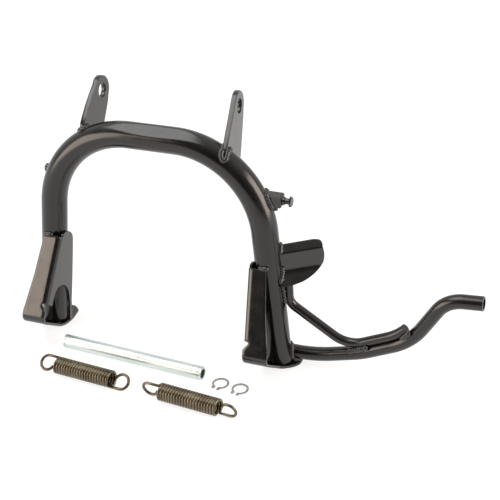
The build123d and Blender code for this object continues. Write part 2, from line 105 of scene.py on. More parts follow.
def new_finish(name, colours, roughness, blotch_mm, stretch=(1.0, 1.0, 1.0), grain=None, **sockets):
    """A finish whose colour and shine drift in blotches; its grain is a size and a height in mm."""
    material = bpy.data.materials.new(name)
    material.use_nodes = True
    tree = material.node_tree
    tree.nodes.clear()
    place = add_node(tree, "ShaderNodeTexCoord").outputs["Object"]
    drawn_out = add_node(tree, "ShaderNodeMapping", {"Vector": place, "Scale": stretch})
    blotch = add_node(tree, "ShaderNodeTexNoise", {
        "Vector": drawn_out.outputs["Vector"], "Scale": 1000.0 / blotch_mm, "Detail": 3.0})
    tint = add_node(tree, "ShaderNodeValToRGB", {"Fac": blotch.outputs["Fac"]})
    for element, at, code in zip(tint.color_ramp.elements, (NOISE_LOW, NOISE_HIGH), colours):
        element.position, element.color = at, linear(code)
    shine = add_node(tree, "ShaderNodeMapRange", {
        "Value": blotch.outputs["Fac"], "From Min": NOISE_LOW, "From Max": NOISE_HIGH,
        "To Min": roughness[0], "To Max": roughness[1]})
    shader = add_node(tree, "ShaderNodeBsdfPrincipled", {
        "Base Color": tint.outputs["Color"], "Roughness": shine.outputs["Result"], **sockets})
    if grain:
        size_mm, height_mm = grain
        bumps = add_node(tree, "ShaderNodeTexNoise", {"Vector": place, "Scale": 1000.0 / size_mm})
        relief = add_node(tree, "ShaderNodeBump", {
            "Height": bumps.outputs["Fac"], "Strength": 1.0, "Distance": height_mm / 1000})
        tree.links.new(relief.outputs["Normal"], shader.inputs["Normal"])
    add_node(tree, "ShaderNodeOutputMaterial", {"Surface": shader.outputs["BSDF"]})
    return material


def placed(x, y, z):
    """A point of the stand's own drawing, in mm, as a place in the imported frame."""
    return Vector((x + SHIFT_MM[0], y + SHIFT_MM[1], z)) / 1000


def add_line(curve, places, closed=False):
    """A line through places, added to a curve."""
    line = curve.splines.new("POLY")
    line.points.add(len(places) - 1)
    line.use_cyclic_u = closed
    for point, place in zip(line.points, places):
        point.co = (*place, 1.0)


def path_object(name, rows):
    """A curve object through rows of places."""
    curve = bpy.data.curves.new(name, "CURVE")
    curve.dimensions = "3D"
    for row in rows:
        add_line(curve, row)
    return new_object(name, curve)


def plain_mesh(source):
    """The plain mesh that an object shows; the object goes, and its modifier with it."""
    bpy.context.view_layer.update()
    depsgraph = bpy.context.evaluated_depsgraph_get()
    mesh = bpy.data.meshes.new_from_object(source.evaluated_get(depsgraph), depsgraph=depsgraph)
    bpy.data.objects.remove(source)
    return mesh


def new_tree(name, inputs):
    """A tree that grows a shape on a path, with named inputs; gives it and its input sockets."""
    kinds = {float: "NodeSocketFloat", int: "NodeSocketInt", bool: "NodeSocketBool"}
    tree = bpy.data.node_groups.new(name, "GeometryNodeTree")
    for way in ("INPUT", "OUTPUT"):
        tree.interface.new_socket(name="Geometry", in_out=way, socket_type="NodeSocketGeometry")
    for label, value in inputs.items():
        tree.interface.new_socket(name=label, in_out="INPUT",
                                  socket_type=kinds[type(value)]).default_value = value
    tree.interface.new_socket(name="Finish", in_out="INPUT", socket_type="NodeSocketMaterial")
    return tree, add_node(tree, "NodeGroupInput").outputs


def end_tree(tree, shape, finish):
    """Ends a tree in one plain, smooth mesh with its finish."""
    solid = add_node(tree, "GeometryNodeRealizeInstances", {"Geometry": shape})
    smooth = add_node(tree, "GeometryNodeSetShadeSmooth", {"Geometry": solid.outputs["Geometry"]})
    coated = add_node(tree, "GeometryNodeSetMaterial", {
        "Geometry": smooth.outputs["Geometry"], "Material": finish})
    add_node(tree, "NodeGroupOutput", {"Geometry": coated.outputs["Geometry"]})


def grown(tree, source, name, values):
    """The piece that a tree grows on an object, with the tree's named inputs set."""
    grow = source.modifiers.new("grow", "NODES")
    grow.node_group = tree
    for item in tree.interface.items_tree:
        if item.item_type == "SOCKET" and item.in_out == "INPUT" and item.name in values:
            grow[item.identifier] = values[item.name]
    return new_object(name, plain_mesh(source))


def give_wall(piece, thick_mm, offset=-1.0, even=False):
    """Gives a skin the thickness of its wall or sheet."""
    wall = piece.modifiers.new("wall", "SOLIDIFY")
    wall.thickness, wall.offset, wall.use_even_offset = thick_mm / 1000, offset, even


def finish_piece(piece, slot, *stands_for):
    """The calls that every finished piece gets."""
    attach(piece, "root")
    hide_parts(*stands_for)


# baked enamel on steel: nearly black, with a soft broad shine and the faint orange peel of a spray
enamel = new_finish("gloss_black_enamel_sprayed", (BLACK_ENAMEL, WARM_ENAMEL), ENAMEL_ROUGHNESS,
                    ENAMEL_BLOTCH_MM, grain=(PEEL_MM, PEEL_HEIGHT_MM), IOR=ENAMEL_IOR)

# round tube, bar or wire, drawn along a path
drawn, given = new_tree("drawn_along_path", {"Radius": 0.0018, "Facets": 16, "Closed ends": True})
section = add_node(drawn, "GeometryNodeCurvePrimitiveCircle", {
    "Resolution": given["Facets"], "Radius": given["Radius"]})
swept = add_node(drawn, "GeometryNodeCurveToMesh", {
    "Curve": given["Geometry"], "Profile Curve": section.outputs["Curve"],
    "Fill Caps": given["Closed ends"]})
end_tree(drawn, swept.outputs["Mesh"], given["Finish"])


def hoop_point(along, up):
    """Place on the hoop's own plane, which leans back; measured from the middle of its top."""
    return placed(along, TOP_Y_MM + up * math.sin(LEAN), TOP_Z_MM + up * math.cos(LEAN))


half = [(TOP_HALF_MM * i / TOP_STEPS, 0.0) for i in range(TOP_STEPS)]
half += [(TOP_HALF_MM + CORNER_R_MM * math.sin(a), CORNER_R_MM * (math.cos(a) - 1))
         for a in ((math.pi / 2 - SPLAY) * i / CORNER_STEPS for i in range(CORNER_STEPS))]
knee_x = TOP_HALF_MM + CORNER_R_MM * math.cos(SPLAY)
knee_up = CORNER_R_MM * (math.sin(SPLAY) - 1)
half += [(knee_x + run * math.sin(SPLAY), knee_up - run * math.cos(SPLAY))
         for run in (LEG_MM * i / LEG_STEPS for i in range(LEG_STEPS + 1))]
row = [hoop_point(-x, up) for x, up in half[:0:-1]] + [hoop_point(x, up) for x, up in half]
hoop = grown(drawn, path_object("hoop_path", [row]), "hoop", {
    "Radius": TUBE_R_MM / 1000, "Facets": TUBE_FACETS, "Closed ends": False, "Finish": enamel})

# the press leaves a long shallow flat, deepest at its middle
along = -sum(math.dist(a, b) for a, b in zip(half, half[1:]))
off_plane = Vector((0, -math.cos(LEAN), math.sin(LEAN)))
for i, middle in enumerate(row):
    onward = (row[min(i + 1, len(row) - 1)] - row[max(i - 1, 0)]).normalized()
    outward = off_plane.cross(onward)
    press_way = outward * math.cos(PRESSED_TILT) + off_plane * math.sin(PRESSED_TILT)
    if i:
        along += (middle - row[i - 1]).length * 1000
    share = 2 * (along - PRESSED_AT_MM) / PRESSED_LONG_MM
    if abs(share) >= 1:
        continue
    allowed = (TUBE_R_MM - PRESSED_DEEP_MM * (1 - share ** 2)) / 1000
    for v in list(hoop.data.vertices)[i * TUBE_FACETS:(i + 1) * TUBE_FACETS]:
        rise = (v.co - middle).dot(press_way)
        if rise > allowed:
            v.co -= press_way * (rise - allowed)

# the legs are cut off just above the soles of the shoes
mesh = bmesh.new()
mesh.from_mesh(hoop.data)
bmesh.ops.bisect_plane(mesh, geom=list(mesh.verts) + list(mesh.edges) + list(mesh.faces),
                       plane_co=placed(0, *SOLE_CUT_MM), plane_no=Vector((0, SOLE_SLOPE, -1)),
                       clear_outer=True)
bmesh.ops.recalc_face_normals(mesh, faces=mesh.faces)
hoop_skin = BVHTree.FromBMesh(mesh)
mesh.to_mesh(hoop.data)
mesh.free()
give_wall(hoop, WALL_MM)
finish_piece(hoop, "black_paint", "hoop_tube")

# The ears are cut from 6 mm plate, drilled for the shaft and welded on the hoop's crest. Their
# faces keep the mill's fine grain under the same enamel, and their sawn edges are softened.
EAR_MM, EAR_INSIDE_MM, EAR_EDGE_MM = 6.0, 80.0, 0.8
PIVOT_MM, TIP_R_MM, HOLE_R_MM = (52.0, 283.5), 16.6, 8.08
TIP_DEG, HOLE_STEPS = range(-34, 119, 4), 48
LEFT_EAR_MM = ((41.5, 294.5), (30.0, 286.6), (21.0, 279.2), (11.0, 269.8), (4.5, 263.0),
               (2.6, 259.2), (2.6, 252.0), (12.0, 236.0), (39.0, 230.5), (44.5, 236.0),
               (48.0, 245.0), (55.4, 256.0), (62.0, 265.5))
RIGHT_EAR_MM = ((39.0, 293.4), (27.0, 281.5), (11.8, 267.4), (1.5, 256.8), (-6.0, 248.0),
                (-6.0, 243.0), (8.0, 236.0), (41.0, 222.5), (45.7, 226.0), (52.0, 239.5),
                (59.0, 256.0), (64.0, 267.5))
# each ear's node, the side it is on, how much it toes out, and its outline below the round tip
EARS = (("left_pivot_ear", -1, 0.0, LEFT_EAR_MM), ("right_pivot_ear", 1, 0.095, RIGHT_EAR_MM))
PLATE_BLACK, PLATE_WARM, PLATE_IOR, PLATE_ROUGHNESS = "#0c0b0a", "#141210", 1.65, (0.14, 0.24)
PLATE_BLOTCH_MM, GRAIN_MM, GRAIN_HEIGHT_MM = 12.0, 1.4, 0.006

# a thinner coat than the tube's: a shade lighter and glossier, with the plate's grain under it
plate_enamel = new_finish("black_enamel_on_rolled_plate", (PLATE_BLACK, PLATE_WARM),
                          PLATE_ROUGHNESS, PLATE_BLOTCH_MM, grain=(GRAIN_MM, GRAIN_HEIGHT_MM),
                          IOR=PLATE_IOR)


def bmesh_object(mesh, name, finish):
    """A new object with a bmesh as its shape, and its finish."""
    data = bpy.data.meshes.new(name)
    mesh.to_mesh(data)
    mesh.free()
    data.materials.append(finish)
    return new_object(name, data)


def round_pivot(radius, angles):
    """Places on a circle round the pivot, in the ear's own plane."""
    y, z = PIVOT_MM
    return [(y + radius * math.cos(a), z + radius * math.sin(a)) for a in angles]


tip = round_pivot(TIP_R_MM, [math.radians(a) for a in TIP_DEG])
drilled = round_pivot(HOLE_R_MM, [2 * math.pi * i / HOLE_STEPS for i in range(HOLE_STEPS)])
for name, side_way, toe_out, foot in EARS:
    curve = bpy.data.curves.new(name, "CURVE")
    curve.dimensions, curve.fill_mode = "2D", "BOTH"
    curve.extrude, curve.bevel_depth = (EAR_MM / 2 - EAR_EDGE_MM) / 1000, EAR_EDGE_MM / 1000
    curve.bevel_resolution, curve.offset = 2, -EAR_EDGE_MM / 1000
    for ring in (tip + list(foot), drilled):
        add_line(curve, [(y / 1000, z / 1000, 0.0) for y, z in ring], closed=True)
    data = plain_mesh(new_object(name, curve))
    home = placed(side_way * (EAR_INSIDE_MM + EAR_MM / 2 + toe_out * PIVOT_MM[0]), 0, 0)
    data.transform(Matrix(((-side_way * toe_out, 0, 1, home.x), (1, 0, 0, home.y), (0, 1, 0, 0),
                           (0, 0, 0, 1))))
    mesh = bmesh.new()
    mesh.from_mesh(data)
    bmesh.ops.remove_doubles(mesh, verts=mesh.verts, dist=SAME_PLACE_M)
    bmesh.ops.recalc_face_normals(mesh, faces=mesh.faces)
    finish_piece(bmesh_object(mesh, name + "_plate", plate_enamel), "black_paint", name)

# Each shoe is pressed from one 3 mm sheet. Its web lies against the leg and has an arch cut in it;
# a fold joins it to the front flange, which rolls under into a rocker sole that flares out behind.
FOOT_X_MM, SHEET_MM, SHEET_EDGE_MM = 145.186, 3.0, 0.7
WEB_OFF_MM, FOLD_R_MM, ROLL_R_MM, ROCKER_R_MM = 17.68, 6.5, 12.0, 62.0
SHOE_TOP_MM, FLANGE_LEAN, ROCKER_TURN = (-21.7, 127.7), math.radians(29.7), math.radians(36.5)
FOLD_END_Z_MM, RELIEF_END_Z_MM, SOLE_BACK_MM = 56.6, 51.0, 22.0
FLANGE_STEPS, ROLL_STEPS, ROCKER_STEPS, SOLE_STEPS, FOLD_STEPS, ACROSS_STEPS = 30, 14, 26, 14, 8, 6
# how far out the free edge stands, at a height on the flange and at a depth on the sole
FLANGE_EDGE_MM = ((-8.5, 127.7), (-7.2, 122.0), (-1.8, 86.0), (4.7, 55.8), (6.4, 49.0))
SOLE_EDGE_MM = ((6.8, -50.0), (8.5, -36.0), (13.0, -25.0), (19.4, -14.0), (22.1, -7.5),
                (22.6, -1.0), (22.3, 5.0), (18.6, 13.0), (10.0, 19.0), (3.4, 22.0))
# behind each of these depths the sole's inner edge turns out from the web by this slope
SOLE_TURNS_OUT = ((2.0, 0.12), (16.0, 1.1))
# the web's cut edge as (y, z): the arch over the sole, its heel, then the back and the top
WEB_EDGE_MM = ((-49.8, 49.0), (-47.8, 49.0), (-46.1, 52.4), (-42.6, 58.2), (-39.6, 61.8),
               (-36.1, 63.8), (-32.5, 64.9), (-28.6, 64.7), (-24.0, 63.4), (-19.9, 61.0),
               (-16.0, 57.8), (-12.9, 53.4), (-10.5, 49.3), (-9.0, 45.2), (-7.9, 40.5),
               (-7.5, 35.9), (-7.2, 29.5), (-7.6, 16.0), (-8.5, 3.3), (-2.6, 3.3), (-2.6, 28.0),
               (1.1, 55.1), (3.8, 78.4), (6.7, 106.4), (7.0, 111.0), (6.3, 115.5), (4.2, 119.6),
               (1.2, 123.0), (-2.6, 125.7), (-6.8, 127.4), (-11.1, 128.1), (-14.6, 127.6))


def web_x(z):
    """X of the web's outer face at height z."""
    return FOOT_X_MM - WEB_OFF_MM - z * math.tan(SPLAY)


def between(table, at):
    """A number read from rows of (number, place), between the two rows round a place."""
    for (a, place_a), (b, place_b) in zip(table, table[1:]):
        if (at - place_a) * (at - place_b) <= 0 and place_a != place_b:
            return a + (b - a) * (at - place_a) / (place_b - place_a)
    return table[0][0] if abs(at - table[0][1]) < abs(at - table[-1][1]) else table[-1][0]


def eased(corner, back, on, steps):
    """Points of the soft bend at a corner, from its reach back to its reach on."""
    shares = [k / steps for k in range(steps + 1)]
    return [corner + back * (1 - t) ** 2 + on * t ** 2 for t in shares]


def soften_edges(piece, width_mm):
    """Rounds the cut edges of a sheet."""
    soft = piece.modifiers.new("soft_edge", "BEVEL")
    soft.width, soft.segments, soft.angle_limit = width_mm / 1000, 2, math.radians(60)


# the shoe's side line, as (y, z): straight flange, roll, rocker sole
rock = (-ROCKER_R_MM * math.sin(ROCKER_TURN), ROCKER_R_MM * (1 - math.cos(ROCKER_TURN)))
reach = (rock[0] - SHOE_TOP_MM[0] + math.tan(FLANGE_LEAN) * (SHOE_TOP_MM[1] - rock[1])) / (
    math.cos(ROCKER_TURN) + math.tan(FLANGE_LEAN) * math.sin(ROCKER_TURN))
nose = Vector((rock[0] - reach * math.cos(ROCKER_TURN), rock[1] + reach * math.sin(ROCKER_TURN)))
up_flange, to_sole = (Vector(SHOE_TOP_MM) - nose).normalized(), (Vector(rock) - nose).normalized()
reach = ROLL_R_MM * math.tan((math.pi - up_flange.angle(to_sole)) / 2)
low = nose + up_flange * reach
flange = [Vector(SHOE_TOP_MM).lerp(low, i / FLANGE_STEPS) for i in range(FLANGE_STEPS + 1)]
rolled = eased(nose, up_flange * reach, to_sole * reach, ROLL_STEPS)[1:]
sole = [Vector((-ROCKER_R_MM * math.sin(a), ROCKER_R_MM * (1 - math.cos(a))))
        for a in (ROCKER_TURN * (1 - i / ROCKER_STEPS) for i in range(ROCKER_STEPS + 1))]
sole += [Vector((SOLE_BACK_MM * i / SOLE_STEPS, 0)) for i in range(1, SOLE_STEPS + 1)]

# the fold leaves the corner of web and flange by one radius along each of them
fold_line = (Vector((web_x(low.y), *low)) -
             Vector((web_x(SHOE_TOP_MM[1]), *SHOE_TOP_MM))).normalized()
web_back = Vector((math.cos(SPLAY), 0, math.sin(SPLAY))).cross(fold_line)
web_back *= FOLD_R_MM * (1 if web_back.y > 0 else -1)
flange_way = fold_line.cross(Vector((0, math.cos(FLANGE_LEAN), -math.sin(FLANGE_LEAN))))
flange_way *= FOLD_R_MM * (1 if flange_way.x > 0 else -1)

for name, side_way in (("left_shoe", -1), ("right_shoe", 1)):
    mesh = bmesh.new()
    rows, web_column = [], []
    for part, line in (("flange", flange), ("roll", rolled), ("sole", sole)):
        for y, z in line:
            out = {"flange": between(FLANGE_EDGE_MM, z), "roll": FLANGE_EDGE_MM[-1][0],
                   "sole": between(SOLE_EDGE_MM, y)}[part]
            edge = Vector((FOOT_X_MM + out, y, z))
            corner = Vector((web_x(z), y, z))
            folded = part == "flange" and z >= FOLD_END_Z_MM
            relief = (z - RELIEF_END_Z_MM) / (FOLD_END_Z_MM - RELIEF_END_Z_MM)
            turned_out = sum(max(0.0, y - at) * slope for at, slope in SOLE_TURNS_OUT)
            start = Vector((web_x(z) + turned_out, y, z))
            if part == "flange":
                start = corner + flange_way * min(1.0, max(0.0, relief))
            spots = eased(corner, web_back, flange_way, FOLD_STEPS)[:-1]
            spots = (spots if folded else [None] * FOLD_STEPS) + [
                start.lerp(edge, k / ACROSS_STEPS) for k in range(ACROSS_STEPS + 1)]
            rows.append([p and mesh.verts.new(placed(side_way * p.x, p.y, p.z)) for p in spots])
            if folded:
                web_column.append(rows[-1][0])
    for upper, lower in zip(rows, rows[1:]):
        for k in range(FOLD_STEPS + ACROSS_STEPS):
            corners = (upper[k], upper[k + 1], lower[k + 1], lower[k])
            if all(corners):
                mesh.faces.new(corners[::-side_way]).smooth = True
    web = web_column + [mesh.verts.new(placed(side_way * web_x(z), y, z)) for y, z in WEB_EDGE_MM]
    mesh.faces.new(web[::side_way])
    bmesh.ops.recalc_face_normals(mesh, faces=mesh.faces)
    mesh.faces.ensure_lookup_table()
    # a face near the top of the flange has to look forward
    if mesh.faces[FOLD_STEPS + 2].normal.y > 0:
        bmesh.ops.reverse_faces(mesh, faces=mesh.faces)
    shoe = bmesh_object(mesh, name + "_pressing", plate_enamel)
    give_wall(shoe, SHEET_MM, even=True)
    soften_edges(shoe, SHEET_EDGE_MM)
    finish_piece(shoe, "black_paint", name)


# The peg block, its headed peg and the stop stub are sawn and turned steel under the same enamel.
# The block is welded to the right leg and holds the peg that the springs hang on.
def dress(part, finish):
    """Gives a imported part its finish."""
    part.data.materials.clear()
    part.data.materials.append(finish)


for name in ("peg_block", "spring_peg", "left_stub"):
    dress(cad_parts[name], plate_enamel)

# The tread plate is a strip of the same sheet, bent back at its top and out at its foot, with its
# free corners cut round. It is welded on edge behind the right leg.
TREAD_AT_MM, TREAD_TURN, TREAD_RISE = (147.0, 4.4, 131.2), math.radians(23.0), 0.13
TREAD_SIDE_MM = ((1.6, 16.0), (-6.4, 8.2), (-6.4, -14.0), (-19.4, -27.5))
TREAD_BENDS_MM, TREAD_BEND_STEPS, TREAD_STEP_MM, TREAD_COLUMNS = (4.0, 15.0), 12, 1.2, 8
# it starts inside the tube, and below this height it is coped back by this slope
TREAD_START_MM, TREAD_COPE_Z_MM, TREAD_COPE_SLOPE, TREAD_EDGE_MM = -4.0, -14.0, 0.6, 0.6
# how far out the free edge stands, at a height on the strip
TREAD_FREE_EDGE_MM = ((33.0, 16.0), (37.5, 15.6), (42.0, 14.0), (45.0, 11.0), (46.8, 6.0),
                      (47.6, 0.0), (47.2, -6.0), (46.0, -11.0), (43.2, -16.0), (39.0, -20.0),
                      (33.0, -23.5), (26.0, -26.0), (16.0, -27.4))


def bends(line, radii):
    """For each bend of a flat line: its corner, the ways back and on, its radius and its angle."""
    for i, radius in enumerate(radii, 1):
        before, corner, after = (Vector(line[k]) for k in (i - 1, i, i + 1))
        back, on = (before - corner).normalized(), (after - corner).normalized()
        yield corner, back, on, radius, math.pi - back.angle(on)


side = [TREAD_SIDE_MM[0]]
for corner, back, on, radius, angle in bends(TREAD_SIDE_MM, TREAD_BENDS_MM):
    reach = radius * math.tan(angle / 2)
    side += [tuple(p) for p in eased(corner, back * reach, on * reach, TREAD_BEND_STEPS)]
side.append(TREAD_SIDE_MM[-1])
tread_way = Vector((math.cos(TREAD_TURN), math.sin(TREAD_TURN), TREAD_RISE))
mesh = bmesh.new()
rows = []
for (y0, z0), (y1, z1) in zip(side, side[1:]):
    steps = max(1, int(math.dist((y0, z0), (y1, z1)) / TREAD_STEP_MM))
    for k in range(steps + ((y1, z1) == side[-1])):
        y, z = y0 + (y1 - y0) * k / steps, z0 + (z1 - z0) * k / steps
        start = TREAD_START_MM + max(0.0, TREAD_COPE_Z_MM - z) * TREAD_COPE_SLOPE
        out = between(TREAD_FREE_EDGE_MM, z)
        foot = placed(*TREAD_AT_MM) + Vector((0, y, z)) / 1000
        reaches = [start + (out - start) * n / TREAD_COLUMNS for n in range(TREAD_COLUMNS + 1)]
        rows.append([mesh.verts.new(foot + tread_way * reach / 1000) for reach in reaches])
for upper, lower in zip(rows, rows[1:]):
    for n in range(TREAD_COLUMNS):
        mesh.faces.new((upper[n], lower[n], lower[n + 1], upper[n + 1])).smooth = True
tread_ends = [row[0].co.copy() for row in rows]
tread = bmesh_object(mesh, "tread_strip", plate_enamel)
give_wall(tread, SHEET_MM, offset=0.0)
soften_edges(tread, TREAD_EDGE_MM)
finish_piece(tread, "black_paint", "tread_plate")

# The pedal arm is 16 mm tube. Its brace is 10 mm bar, a little thicker with its enamel. It is
# welded down the outside of the leg, bent across to the arm and then laid alongside it.
BRACE_R_MM, BRACE_Y_MM, BRACE_FACETS, BRACE_BEND_STEPS = 5.3, -4.0, 40, 16
BRACE_MM = ((10.6, 107.0), (10.6, 80.6), (77.78, 36.06), (133.1, 61.82), (142.67, 72.08))
BRACE_BENDS_MM = (16.0, 35.0, 61.9)
dress(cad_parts["pedal_arm"], enamel)
line = [BRACE_MM[0]]
for corner, back, on, radius, angle in bends(BRACE_MM, BRACE_BENDS_MM):
    centre = corner + (back + on).normalized() * radius / math.cos(angle / 2)
    first = corner + back * radius * math.tan(angle / 2) - centre
    sense = 1 if first.x * on.y - first.y * on.x > 0 else -1
    for k in range(BRACE_BEND_STEPS + 1):
        a = sense * angle * k / BRACE_BEND_STEPS
        line.append((centre.x + first.x * math.cos(a) - first.y * math.sin(a),
                     centre.y + first.x * math.sin(a) + first.y * math.cos(a)))
line.append(BRACE_MM[-1])
brace_path = path_object("brace_path", [[placed(FOOT_X_MM + x, BRACE_Y_MM, z) for x, z in line]])
brace = grown(drawn, brace_path, "brace_bar", {
    "Radius": BRACE_R_MM / 1000, "Facets": BRACE_FACETS, "Finish": enamel})
finish_piece(brace, "black_paint", "arm_brace")

# Weld beads join every bracket to the tube. A hand-held torch leaves overlapping ripples of weld
# metal, a little uneven, and the enamel lies thick over them.
BEAD_R_MM, RIPPLE_MM, RIPPLE_FLAT, RIPPLE_UNEVEN = 3.3, 1.5, 0.85, 0.14
BEAD_BLACK, BEAD_WARM, BEAD_ROUGHNESS, BEAD_BLOTCH_MM = "#0d0c0b", "#181512", (0.2, 0.3), 5.0
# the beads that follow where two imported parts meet
WELDS = {"left_shoe_weld": ("left_shoe", "hoop_tube"),
         "right_shoe_weld": ("right_shoe", "hoop_tube"),
         "block_weld": ("peg_block", "hoop_tube")}
SEAM_MARGIN_M, SEAM_REACH_M = 0.0015, 0.00025
# the others are laid on the hoop: round the ears' front edges, at both ends of the tread strip,
# down both sides of the brace's top, round the arm's root, and on the arm where the brace lies
EAR_SEAM_BACK_MM, EAR_SEAM_FROM_Z_MM, EAR_SEAM_AHEAD_MM = 10, 275, 1.0
TREAD_SEAM_FROM_M, TREAD_SEAM_SIDE_M, TREAD_TOP_ROWS, TREAD_LOW_M = 0.03, 0.0015, 7, (0.109, 0.121)
BRACE_SEAM_FROM_MM, BRACE_SEAM_SIDE_MM, BRACE_SEAM_Z_MM = 30, 4, range(84, 108)
ARM_SEAM_FROM_MM, ARM_ROOT_MM, ARM_SEAM_R_MM, ARM_SEAM_DEG = 40, (-2, 14), 8.5, range(60, 310, 10)
ARM_TACKS_MM = (((227, -8.5, 32.5), (233, -9.0, 35.3), (239, -9.0, 38.1), (245, -8.5, 40.9)),
                ((285, -8.0, 61.5), (289, -8.5, 65.5), (292, -8.0, 69.0)))

# thick enamel over rough metal: a broken gloss, a little browner than the tube
bead_enamel = new_finish("black_enamel_over_weld_metal", (BEAD_BLACK, BEAD_WARM), BEAD_ROUGHNESS,
                         BEAD_BLOTCH_MM, IOR=PLATE_IOR)


def on_hoop(points, way):
    """Where rays from the given points meet the hoop."""
    hits = (hoop_skin.ray_cast(point, way)[0] for point in points)
    return [hit for hit in hits if hit is not None]


def merged(part):
    """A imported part's mesh with its loose triangles joined at shared corners."""
    mesh = bmesh.new()
    mesh.from_mesh(part.data)
    bmesh.ops.remove_doubles(mesh, verts=mesh.verts, dist=SAME_PLACE_M)
    return mesh


def seam_lines(part, onto, near):
    """Rows of points where one part meets the skin of another, kept close to a third part's box."""
    skin = merged(onto)
    tree = BVHTree.FromBMesh(skin)
    body = merged(part)
    touching = {v for v in body.verts if tree.find_nearest(v.co)[3] < SEAM_REACH_M}
    coped = {f for f in body.faces
             if all(v in touching for v in f.verts)
             and tree.find_nearest(f.calc_center_median())[3] < SEAM_REACH_M}
    low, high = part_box(near)
    edges = [e for e in body.edges if sum(f in coped for f in e.link_faces) == 1
             and all(low[i] - SEAM_MARGIN_M < (e.verts[0].co[i] + e.verts[1].co[i]) / 2
                     < high[i] + SEAM_MARGIN_M for i in range(3))]
    links = {}
    for e in edges:
        for v in e.verts:
            links.setdefault(v, []).append(e)
    rows, left = [], list(edges)
    while left:
        ends = [v for v, es in links.items() if len([e for e in es if e in left]) == 1]
        at = ends[0] if ends else left[0].verts[0]
        row = [at.co.copy()]
        while True:
            step = next((e for e in links[at] if e in left), None)
            if step is None:
                break
            left.remove(step)
            at = step.other_vert(at)
            row.append(at.co.copy())
        rows.append(row)
    body.free()
    skin.free()
    return rows


# ripples: one flattened ball per step along the seam, each turned along the bead
ripples, given = new_tree("weld_ripples", {"Ripple radius": 0.0023, "Ripple step": 0.0017,
                                           "Unevenness": 0.16, "Flatness": 0.72, "Seed": 3})
steps = add_node(ripples, "GeometryNodeResampleCurve", {
    "Curve": given["Geometry"], "Length": given["Ripple step"]}, mode="LENGTH")
points = add_node(ripples, "GeometryNodeCurveToPoints", {"Curve": steps.outputs["Curve"]},
                  mode="EVALUATED")
least = add_node(ripples, "ShaderNodeMath", {0: 1.0, 1: given["Unevenness"]}, operation="SUBTRACT")
most = add_node(ripples, "ShaderNodeMath", {0: 1.0, 1: given["Unevenness"]}, operation="ADD")
chance = add_node(ripples, "FunctionNodeRandomValue", {
    2: least.outputs[0], 3: most.outputs[0], "Seed": given["Seed"]}, data_type="FLOAT")
size = add_node(ripples, "ShaderNodeMath", {0: chance.outputs[1], 1: given["Ripple radius"]},
                operation="MULTIPLY")
thin = add_node(ripples, "ShaderNodeMath", {0: size.outputs[0], 1: given["Flatness"]},
                operation="MULTIPLY")
shape = add_node(ripples, "ShaderNodeCombineXYZ", {
    0: size.outputs[0], 1: size.outputs[0], 2: thin.outputs[0]})
ball = add_node(ripples, "GeometryNodeMeshIcoSphere", {"Radius": 1.0, "Subdivisions": 3})
laid = add_node(ripples, "GeometryNodeInstanceOnPoints", {
    "Points": points.outputs["Points"], "Instance": ball.outputs["Mesh"],
    "Rotation": points.outputs["Rotation"], "Scale": shape.outputs[0]})
end_tree(ripples, laid.outputs["Instances"], given["Finish"])

down, inward = Vector((0, 0, -1)), Vector((-1, 0, 0))
seams = {weld: seam_lines(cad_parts[part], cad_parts[onto], weld)
         for weld, (part, onto) in WELDS.items()}
for name, side_way, toe_out, foot in EARS:
    front = min(y for y, z in foot)
    # up one face, round the front edge and back down the other, as (share of thickness, y)
    seam = [(0, y) for y in range(EAR_SEAM_BACK_MM, int(front), -1)]
    seam += [(share, front - EAR_SEAM_AHEAD_MM) for share in (0.3, 0.7)]
    seam += [(1, y) for y in range(int(front) + 1, EAR_SEAM_BACK_MM + 1)]
    seams[name.replace("pivot_ear", "ear_weld")] = [on_hoop([
        placed(side_way * (EAR_INSIDE_MM + EAR_MM * share + toe_out * (PIVOT_MM[0] - y)), y,
               EAR_SEAM_FROM_Z_MM) for share, y in seam], down)]
tread_tacks = (tread_ends[:TREAD_TOP_ROWS],
               [p for p in tread_ends if TREAD_LOW_M[0] < p.z < TREAD_LOW_M[1]])
seams["tread_weld"] = [
    on_hoop([p + tread_way * TREAD_SEAM_FROM_M + Vector((0, off, 0)) for p in tack], -tread_way)
    for off in (-TREAD_SEAM_SIDE_M, TREAD_SEAM_SIDE_M) for tack in tread_tacks]
seams["brace_weld"] = [
    on_hoop([placed(FOOT_X_MM + BRACE_SEAM_FROM_MM, BRACE_Y_MM + off, z) for z in BRACE_SEAM_Z_MM],
            inward) for off in (-BRACE_SEAM_SIDE_MM, BRACE_SEAM_SIDE_MM)]
seams["brace_weld"].append(on_hoop([
    placed(FOOT_X_MM + ARM_SEAM_FROM_MM, ARM_ROOT_MM[0] + ARM_SEAM_R_MM * math.cos(a),
           ARM_ROOT_MM[1] + ARM_SEAM_R_MM * math.sin(a))
    for a in (math.radians(deg) for deg in ARM_SEAM_DEG)], inward))
seams["brace_weld"] += [[placed(*spot) for spot in tack] for tack in ARM_TACKS_MM]
for number, (weld, rows) in enumerate(seams.items()):
    bead = grown(ripples, path_object(weld + "_path", rows), weld + "_bead", {
        "Ripple radius": BEAD_R_MM / 1000, "Ripple step": RIPPLE_MM / 1000,
        "Flatness": RIPPLE_FLAT, "Unevenness": RIPPLE_UNEVEN, "Seed": number,
        "Finish": bead_enamel})
    finish_piece(bead, "black_paint", weld)

